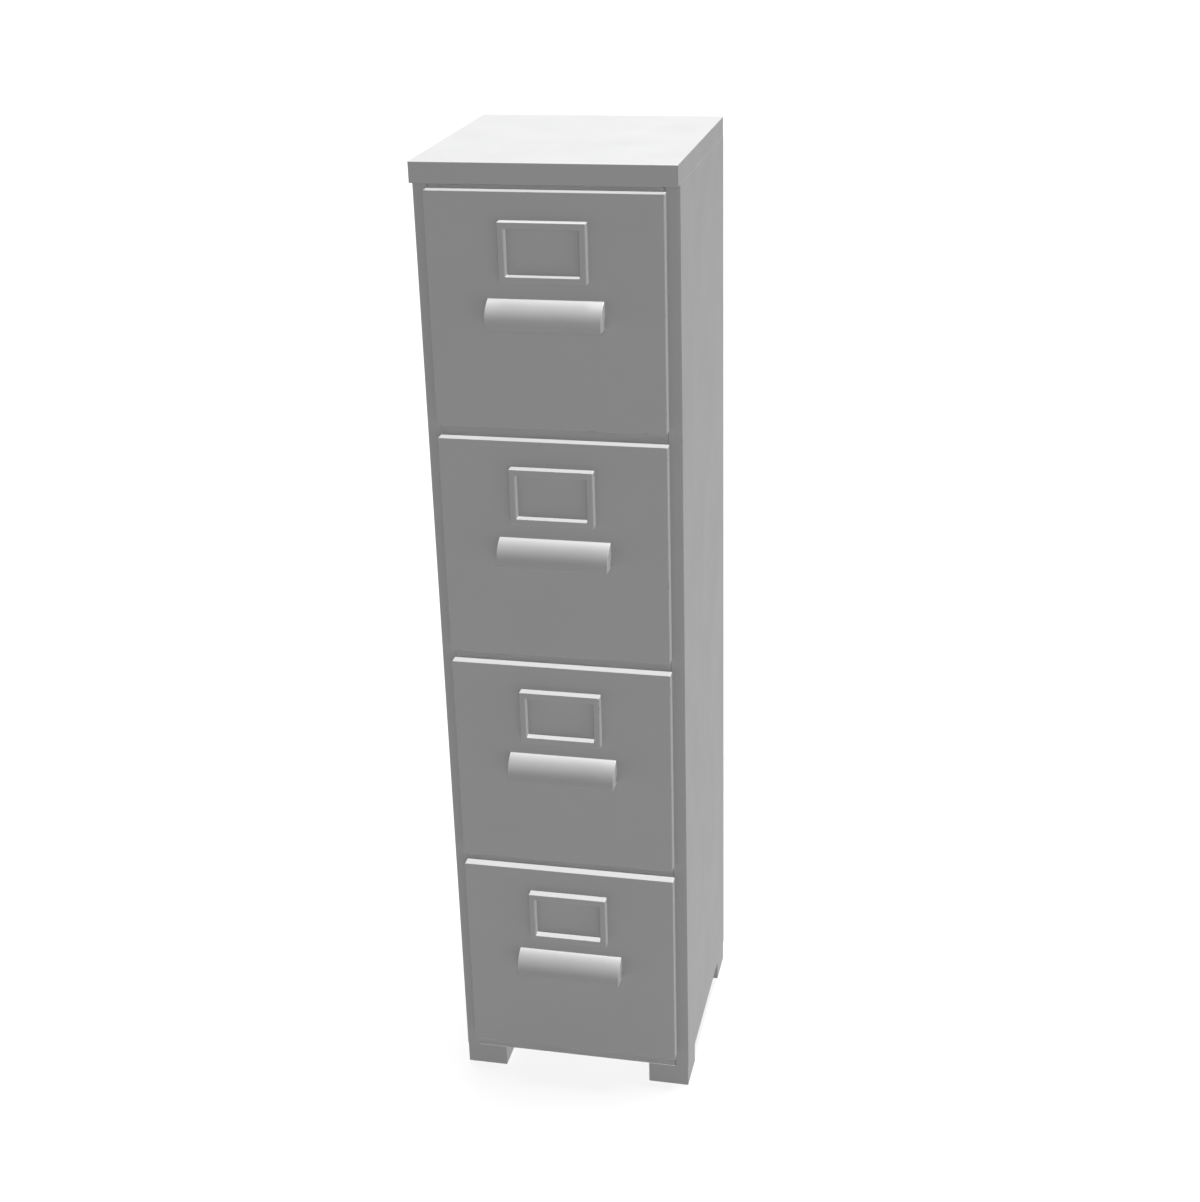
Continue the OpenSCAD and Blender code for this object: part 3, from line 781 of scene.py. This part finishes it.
    def build(self, drawers: int) -> None:
        """Builds and dresses every piece of the case.

        Args:
            drawers: Number of drawers.
        """
        made = {"top_cap": [self.cap()], "right_side_panel": self.side(),
                "left_side_panel": [mirrored(s) for s in self.side()], "back_panel": self.rear(),
                "base_pan": self.pan()}
        for name in ("top_rail", "bottom_rail"):
            low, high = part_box(name)
            made[name] = self.rail(low.z, high.z)
        low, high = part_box("middle_rails")
        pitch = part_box("drawer_1_front")[0].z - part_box("drawer_2_front")[0].z
        height = high.z - low.z - (drawers - 2) * pitch
        starts = [low.z + n * pitch for n in range(drawers - 1)]
        made["middle_rails"] = [shell for z in starts for shell in self.rail(z, z + height)]
        for name, shells in made.items():
            settle(build_piece(f"case_{name}", shells), "case", name, self.finishes.case)


@dataclass
class Feet:
    """The four box feet and their glides.

    Attributes:
        finishes: The finishes to dress them with.
        wide: Width of a foot.
        deep: Depth of a foot.
        wall: Thickness of the walls of a foot and of its glide.
        bend: Outer radius of a foot's folded edges.
        corner: Outer radius of its corners.
        glide_corner: Outer radius of a glide's corners.
        glide_ease: Size of the easing round a glide's underside.
    """

    finishes: Finishes
    wide: float = 57.5 * MM
    deep: float = 59.0 * MM
    wall: float = 1.5 * MM
    bend: float = 0.4 * MM
    corner: float = 1.0 * MM
    glide_corner: float = 2.0 * MM
    glide_ease: float = 0.8 * MM

    def places(self) -> list[Rect]:
        """Works out where the feet stand.

        Returns:
            The rectangle of each foot on the floor: lowest and highest x, then y.
        """
        low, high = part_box("feet")
        return [(x, x + self.wide, y, y + self.deep)
                for x in (low.x, high.x - self.wide) for y in (low.y, high.y - self.deep)]

    def glide(self, rect: Rect, low: float, high: float) -> Shell:
        """Builds a plug: rings round its eased underside, up its wall and down inside it.

        The easing has one more ring between the underside and the wall, which stands 0.35 of the easing's
        size in from the wall and 0.15 above the underside.

        Args:
            rect: The foot's rectangle.
            low: Height of its underside.
            high: Height of its upper edge.

        Returns:
            The closed skin of the plug.
        """
        ease, t = self.glide_ease, self.wall
        profile = [(ease, low), (0.35 * ease, low + 0.15 * ease), (0.0, low + ease), (0.0, high), (t, high),
                   (t, low + t)]
        hole = inset_by(rect, self.wall)
        points, _ = ring_rows([(*inset_by(hole, i), self.glide_corner - i, z) for i, z in profile])
        return loft(points, np.zeros(points.shape[:2]), Ends.FACE)

    def build(self) -> None:
        """Builds and dresses the feet and the glides."""
        low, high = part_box("feet")
        box = Pan(self.wall, self.bend, self.corner)
        feet = build_piece("box_feet", [box.shell(rect, high.z, low.z, "xyz") for rect in self.places()])
        settle(feet, "case", "feet", self.finishes.case)
        low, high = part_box("foot_glides")
        glides = build_piece("plastic_glides", [self.glide(rect, low.z, high.z) for rect in self.places()])
        settle(glides, "case", "foot_glides", self.finishes.glide)


# --- The drawers ---


@dataclass
class Drawer:
    """One drawer: its front, inner front, body, back, pull and label frame.

    Attributes:
        number: Number of the drawer, from the top.
        finishes: The finishes to dress it with.
        front_sheet: Thickness of the front sheet.
        body_sheet: Thickness of the sheet of its body.
        body_bend: Outer radius of the body's folded edges.
        inner_bend: Outer radius of the inner front's folded edges.
        inner_corner: Outer radius of the inner front's corners.
        relief: Chamfer along the edges of the joining flanges.
        weld_flange: Width of the joining flanges.
        ledge: Width of the ledge along the top of each side.
        bar: Width of the label frame's bars.
        frame_wall: Thickness of the label frame.
        frame_corner: Radius of the label frame's outer corners.
        frame_inner_corner: Radius of the corners of its inner rings, before they grow with their inset.
        cut_edge: How much a cut edge or a corner of the frame counts as an edge.
        card_gap: Gap behind the label frame's inner edges.
        pull_wall: Thickness of the pull.
        pull_soft: Radius along the edges of the pull's ends.
        pull_steps: Number of points along the pull's arc.
        pull_closed: How far each ring across the pull's flat end has closed.
        tab_wide: Width of the two fixing tabs inside the pull.
        tab_tall: Height of the tabs.
        tab_in: Gap between a tab and the end wall of the pull.
    """

    number: int
    finishes: Finishes
    front_sheet: float = 1.0 * MM
    body_sheet: float = 0.8 * MM
    body_bend: float = 1.2 * MM
    inner_bend: float = 1.0 * MM
    inner_corner: float = 1.3 * MM
    relief: float = 0.1 * MM
    weld_flange: float = 12.0 * MM
    ledge: float = 6.0 * MM
    bar: float = 8.5 * MM
    frame_wall: float = 1.0 * MM
    frame_corner: float = 1.3 * MM
    frame_inner_corner: float = 0.4 * MM
    cut_edge: tuple[float, float] = (0.6, 0.4)
    card_gap: float = 0.8 * MM
    pull_wall: float = 1.2 * MM
    pull_soft: float = 0.7 * MM
    pull_steps: int = 25
    pull_closed: Triple = (0.03, 0.5, 0.9995)
    tab_wide: float = 14.0 * MM
    tab_tall: float = 17.0 * MM
    tab_in: float = 6.0 * MM

    def __post_init__(self) -> None:
        """Names its body."""
        self.body = f"drawer_{self.number}"

    def node(self, piece: str) -> str:
        """Names the node of one of this drawer's pieces."""
        return f"{self.body}_{piece}"

    def front(self) -> Shell:
        """Builds the outer pan, its face towards -Y."""
        low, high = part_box(self.node("front"))
        return Pan(self.front_sheet).shell((low.x, high.x, low.z, high.z), low.y, high.y, "xzy")

    def inner_front(self) -> Shell:
        """Builds the inner pan, its face towards the case.

        Returns:
            The skin of the pan.
        """
        low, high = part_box(self.node("inner_front"))
        pan = Pan(self.body_sheet, self.inner_bend, self.inner_corner)
        return pan.shell((low.x, high.x, low.z, high.z), high.y, low.y, "xzy")

    def tray(self) -> list[Shell]:
        """Builds the body: one strip folded from ledge to ledge across the bottom, carried from front
        to back, with its three joining flanges.

        Returns:
            The skins of the strip and of the flanges.
        """
        low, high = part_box(self.node("body"))
        m = self.body_sheet / 2
        half = high.x - self.ledge
        side = [(high.x - m, high.z - self.ledge), (high.x - m, high.z - m), (half - m, high.z - m),
                (half - m, low.z + m)]
        path = side + [(-x, z) for x, z in side[::-1]]
        wrap = folded_sheet(path, self.body_sheet, self.body_bend, (low.y, high.y), "xzy")
        inside = half - self.body_sheet
        inner = inside - self.weld_flange
        foot, behind = low.z + self.body_sheet, low.y + self.body_sheet
        flange = plate((inner, low.y, foot), (inside, behind, high.z - self.body_sheet), self.relief)
        sill = plate((-inner, low.y, foot), (inner, behind, low.z + self.weld_flange), self.relief)
        return [wrap, flange, mirrored(flange), sill]

    def back(self) -> list[Shell]:
        """Builds the back: a strip folded forward along both sides, carried up, and its bottom flange.

        Returns:
            The skins of the strip and of the flange.
        """
        low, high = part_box(self.node("back"))
        m = self.body_sheet / 2
        path = [(high.x - m, low.y), (high.x - m, high.y - m), (m - high.x, high.y - m), (m - high.x, low.y)]
        wall = folded_sheet(path, self.body_sheet, self.body_bend, (low.z, high.z), "xyz")
        inset = 2 * self.body_sheet
        foot = plate((low.x + inset, low.y, low.z),
                     (high.x - inset, high.y - self.body_sheet, low.z + self.body_sheet), self.relief)
        return [wall, foot]

    def label_frame(self) -> Shell:
        """Builds the label frame: rings that run up its outer wall, over its face, down its inner wall
        and back inside, closed on themselves.

        Each ring is a rounded rectangle whose inset goes from nothing at the outer wall to the width of
        the bar at the inner wall. Its corner radius falls with the inset, down to a least radius that
        grows by 0.08 of the inset.

        Returns:
            The closed skin of the frame.
        """
        low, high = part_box(self.node("label_frame"))
        deep = high.y - low.y
        t, r, (cut, corner_edge) = self.frame_wall, self.frame_wall + SHARP, self.cut_edge
        outside = [(0.0, deep, cut)] + bend_rows(0.0, 0.0, r, False)
        crossing = [(self.bar - i, d, e) for i, d, e in bend_rows(0.0, 0.0, r, True)]
        lip = deep - self.card_gap
        edge_rows = [(self.bar, lip, cut), (self.bar - t, lip, cut)]
        inside = [(self.bar - i, d, e) for i, d, e in bend_rows(t, t, r - t, False)]
        under = bend_rows(t, t, r - t, True)
        profile = outside + crossing + edge_rows + inside + under + [(t, deep, cut)]
        outer = (low.x, high.x, low.z, high.z)
        least = self.frame_inner_corner
        rows = [(*inset_by(outer, i), max(self.frame_corner - i, least + 0.08 * i), low.y + d)
                for i, d, _ in profile]
        points, corners = ring_rows(rows)
        edge = edge_values(profile, corners, corner_edge)
        return loft(in_order(points, "xzy"), edge, Ends.OPEN, wrap_rows=True)

    def arc(self) -> tuple[float, float]:
        """Works out the arc of the pull's side view, whose centre lies behind the drawer front at the
        height of the pull's lower edge.

        Its radius is the depth squared plus the height squared, over twice the depth.

        Returns:
            The radius, and how far behind the drawer front the centre lies.
        """
        low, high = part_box(self.node("pull"))
        deep, tall = high.y - low.y, high.z - low.z
        radius = (deep ** 2 + tall ** 2) / (2 * deep)
        return radius, radius - deep

    def pull(self) -> Piece:
        """Builds the pull as one skin, and gives it its wall.

        Its side view is the arc, so it leaves the front at its top and hangs straight down at its nose.
        Across its width the arc keeps its size, and within a rounding radius of each end it shrinks
        towards the middle of the end as a quarter circle does; the flat end then closes on the corner
        between front and lower edge.

        Returns:
            The pull.
        """
        low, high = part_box(self.node("pull"))
        radius, behind = self.arc()
        soft = self.pull_soft
        turn = np.linspace(0.0, math.pi / 2, BEND_STEPS + 1)
        # From inside the bend outwards: how far each ring shrinks, where it stands, and how far it has
        # closed over the flat end.
        shrunk = np.r_[0.0, soft * (1 - np.cos(turn)), soft, soft, soft]
        places = np.r_[high.x - soft - SUPPORT, high.x - soft + soft * np.sin(turn), [high.x] * 3]
        closed = np.r_[np.zeros(BEND_STEPS + 2), self.pull_closed]
        rows_x = np.r_[-places[::-1], places]
        rows_in = np.r_[shrunk[::-1], shrunk]
        rows_share = np.r_[closed[::-1], closed]
        reach = radius - rows_in[:, None]
        # Each ring stops where its own arc meets the plane of the drawer front.
        limit = np.arccos(behind / reach)
        turned = np.linspace(0.0, 1.0, self.pull_steps)[None, :] * limit
        out = (reach * np.cos(turned) - behind) * (1 - rows_share[:, None])
        up = reach * np.sin(turned) * (1 - rows_share[:, None])
        points = np.stack([np.broadcast_to(rows_x[:, None], out.shape), high.y - out, low.z + up], axis=-1)
        rows, columns = out.shape
        bent = np.broadcast_to(((rows_in > 0) & (rows_share == 0))[:, None], out.shape).astype(float)
        skin = Shell(points.reshape(-1, 3), grid_faces(rows, columns, False, False), bent.reshape(-1))
        piece = build_piece(f"{self.body}_hood_pull", [skin])
        wall = piece.modifiers.new("Wall", "SOLIDIFY")
        wall.thickness = self.pull_wall
        wall.offset = 1.0
        wall.use_even_offset = True
        return piece

    def pull_tabs(self) -> list[Shell]:
        """Builds the two tabs that the pull is fixed by, flat against the drawer front inside the pull.

        A tab reaches up to where the inside of the pull's arc meets the drawer front.

        Returns:
            The skins of the tabs.
        """
        low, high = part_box(self.node("pull"))
        radius, behind = self.arc()
        top = low.z + math.sqrt((radius - self.pull_wall) ** 2 - behind ** 2)
        foot = high.z - self.pull_wall - self.tab_tall
        outer = high.x - self.pull_wall - self.tab_in
        tab = plate((outer - self.tab_wide, high.y - self.pull_wall, foot), (outer, high.y, top))
        return [tab, mirrored(tab)]

    def build(self) -> None:
        """Builds and dresses every piece of the drawer."""
        grey, inside = self.finishes.case, self.finishes.drawer
        made = {"front": ([self.front()], "grey_enamel", grey),
                "inner_front": ([self.inner_front()], "grey_enamel", grey),
                "body": (self.tray(), "drawer_steel", inside), "back": (self.back(), "drawer_steel", inside),
                "label_frame": ([self.label_frame()], "grey_enamel", grey)}
        for name, (shells, slot, finish) in made.items():
            settle(build_piece(f"{self.body}_{name}_sheet", shells), self.body, self.node(name), finish)
        settle(self.pull(), self.body, self.node("pull"), grey)
        tabs = build_piece(f"{self.body}_pull_tabs", self.pull_tabs())
        settle(tabs, self.body, None, grey)


@dataclass
class Hardware:
    """The slides, cages, uprights and fasteners, which keep their own meshes.

    Attributes:
        nodes: The frame's nodes by name.
        finishes: The finishes to dress them with.
    """

    nodes: dict[str, Piece]
    finishes: Finishes

    def finish_for(self, name: str) -> Finish:
        """Picks the finish of the named node."""
        plated = self.finishes.upright if name == "slide_uprights" else self.finishes.zinc
        return self.finishes.bright if name.endswith("cages") else plated

    def build(self) -> None:
        """Dresses each node that is still shown."""
        for name, node in sorted(self.nodes.items()):
            if not node.hide_render:
                dress(node, self.finish_for(name))
                LOG.info("%s: dressed in %s", name, self.finish_for(name).name)


# --- The studio ---


class Reach(Enum):
    """What a lamp lights: the endings of piece names, and whether those pieces are lit or left out."""

    EVERYTHING = ((), False)
    FRONTS = (("_front_sheet", "_label_frame_sheet", "_hood_pull"), True)
    OUTSIDE = ((*FRONTS[0], "_cap", "_panel", "_feet", "_glides", "_floor"), True)
    INSIDE = (OUTSIDE[0], False)

    def takes(self, name: str) -> bool:
        """Tells whether a lamp of this reach lights the named piece."""
        endings, named = self.value
        return name.endswith(endings) is named


@dataclass(frozen=True)
class Lamp:
    """A far, broad lamp, which lights the whole object evenly.

    Attributes:
        name: Name of the lamp.
        power: Its light on a face square to it.
        bearing: The way to it across the floor, as x and y.
        height: Its height above the horizon, in degrees.
        spread: Angle that it spans, in degrees.
        shadows: Whether things stand in its light.
        reach: What it lights.
    """

    name: str
    power: float
    bearing: tuple[float, float]
    height: float
    spread: float
    shadows: bool = True
    reach: Reach = Reach.EVERYTHING

    def hang(self) -> None:
        """Hangs the lamp in the scene."""
        data = bpy.data.lights.new(self.name, "SUN")
        data.energy = self.power
        data.angle = math.radians(self.spread)
        data.use_shadow = self.shadows
        lamp = bpy.data.objects.new(self.name, data)
        across = Vector((*self.bearing, 0.0)).normalized() * math.cos(math.radians(self.height))
        way = across + Vector((0.0, 0.0, math.sin(math.radians(self.height))))
        lamp.rotation_euler = way.to_track_quat("Z", "Y").to_euler()
        bpy.context.scene.collection.objects.link(lamp)
        if self.reach is not Reach.EVERYTHING:
            lit = bpy.data.collections.new(f"lit_by_{self.name}")
            for piece in bpy.data.objects:
                if piece.type == "MESH" and self.reach.takes(piece.name):
                    lit.objects.link(piece)
            lamp.light_linking.receiver_collection = lit


@dataclass
class Studio:
    """The floor, the lights and the camera.

    Attributes:
        floor_size: Length of the floor's sides.
        floor_tone: Reflectance of the floor.
        sky: Strength of the even light from all round.
        backdrop: Brightness of what is seen beyond the floor.
        lamps: The lamps.
        camera_from: Place of the camera from the foot of the middle of the case's front.
        camera_turn: Turn of the camera about x, y and z, in degrees.
        lens: Focal length, in millimetres, on a 36 mm sensor.
    """

    floor_size: float = 60.0
    floor_tone: float = 0.235
    sky: float = 0.06
    backdrop: float = 0.92
    lamps: tuple[Lamp, ...] = (
        Lamp("key", 11.4, (0.453, 0.892), 68.1, 20.0, False, Reach.OUTSIDE),
        Lamp("key_inside", 9.0, (0.453, 0.892), 68.1, 20.0, True, Reach.INSIDE),
        Lamp("overhead_soft", 3.2, (0.5, 0.85), 85.0, 14.0),
        Lamp("front_fill", 1.4, (0.15, -1.0), 12.0, 24.0),
        Lamp("edge_fill", 2.1, (1.0, -0.02), 4.0, 12.0, False, Reach.FRONTS),
    )
    camera_from: Triple = (0.55919, -2.20331, 1.74050)
    camera_turn: Triple = (66.5220, 1.5048, 12.2606)
    lens: float = 56.683

    def floor(self) -> None:
        """Lays a plain pale floor."""
        half = self.floor_size / 2
        mesh = bpy.data.meshes.new("studio_floor")
        corners = [(-half, -half, 0.0), (half, -half, 0.0), (half, half, 0.0), (-half, half, 0.0)]
        mesh.from_pydata(corners, [], [(0, 1, 2, 3)])
        floor = bpy.data.objects.new("studio_floor", mesh)
        bpy.context.scene.collection.objects.link(floor)
        r = Recipe("studio_floor")
        r.set(Roughness=0.9)
        low, high = self.floor_tone * 0.99, self.floor_tone * 1.01
        r.feed(r.blend(r.spread(r.noise(2.0, 3.0), 0.3, 0.7), (low,) * 3, (high,) * 3), "Base Color")
        dress(floor, r.material)

    def lights(self) -> None:
        """Sets an even sky, whose backdrop is pale where it is seen itself, and hangs the lamps."""
        scene = bpy.context.scene
        scene.world = bpy.data.worlds.new("studio_sky")
        scene.world.use_nodes = True
        nodes, links = scene.world.node_tree.nodes, scene.world.node_tree.links
        glow, seen = nodes["Background"], nodes.new("ShaderNodeBackground")
        for background, strength in ((glow, self.sky), (seen, self.backdrop)):
            background.inputs["Color"].default_value = (1.0, 1.0, 1.0, 1.0)
            background.inputs["Strength"].default_value = strength
        either = nodes.new("ShaderNodeMixShader")
        links.new(nodes.new("ShaderNodeLightPath").outputs["Is Camera Ray"], either.inputs["Fac"])
        links.new(glow.outputs["Background"], either.inputs[1])
        links.new(seen.outputs["Background"], either.inputs[2])
        links.new(either.outputs["Shader"], nodes["World Output"].inputs["Surface"])
        for lamp in self.lamps:
            lamp.hang()

    def camera(self, front: float) -> None:
        """Sets the camera.

        Args:
            front: Place of the front face of the case along Y.
        """
        data = bpy.data.cameras.new("camera")
        data.sensor_width = 36.0
        data.lens = self.lens
        data.clip_start, data.clip_end = 0.05, 200.0
        camera = bpy.data.objects.new("camera", data)
        camera.location = Vector((0.0, front, 0.0)) + Vector(self.camera_from)
        camera.rotation_euler = tuple(math.radians(a) for a in self.camera_turn)
        bpy.context.scene.collection.objects.link(camera)
        bpy.context.scene.camera = camera

    def build(self, front: float) -> None:
        """Builds the whole studio.

        Args:
            front: Place of the front face of the case along Y.
        """
        self.camera(front)
        self.floor()
        self.lights()
        bpy.context.scene.view_settings.view_transform = "Standard"


def main() -> None:
    """Builds the cabinet round the frame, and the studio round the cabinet."""
    logging.basicConfig(level=logging.INFO, format="%(name)s %(message)s")
    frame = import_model()
    drawers = sum(name.endswith("_inner_front") for name in frame["nodes"])
    finishes = Finishes()
    Case(finishes).build(drawers)
    Feet(finishes).build()
    for number in range(1, drawers + 1):
        Drawer(number, finishes).build()
    Hardware(frame["nodes"], finishes).build()
    Studio().build(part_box("left_side_panel")[0].y)


if __name__ == "__main__":
    main()
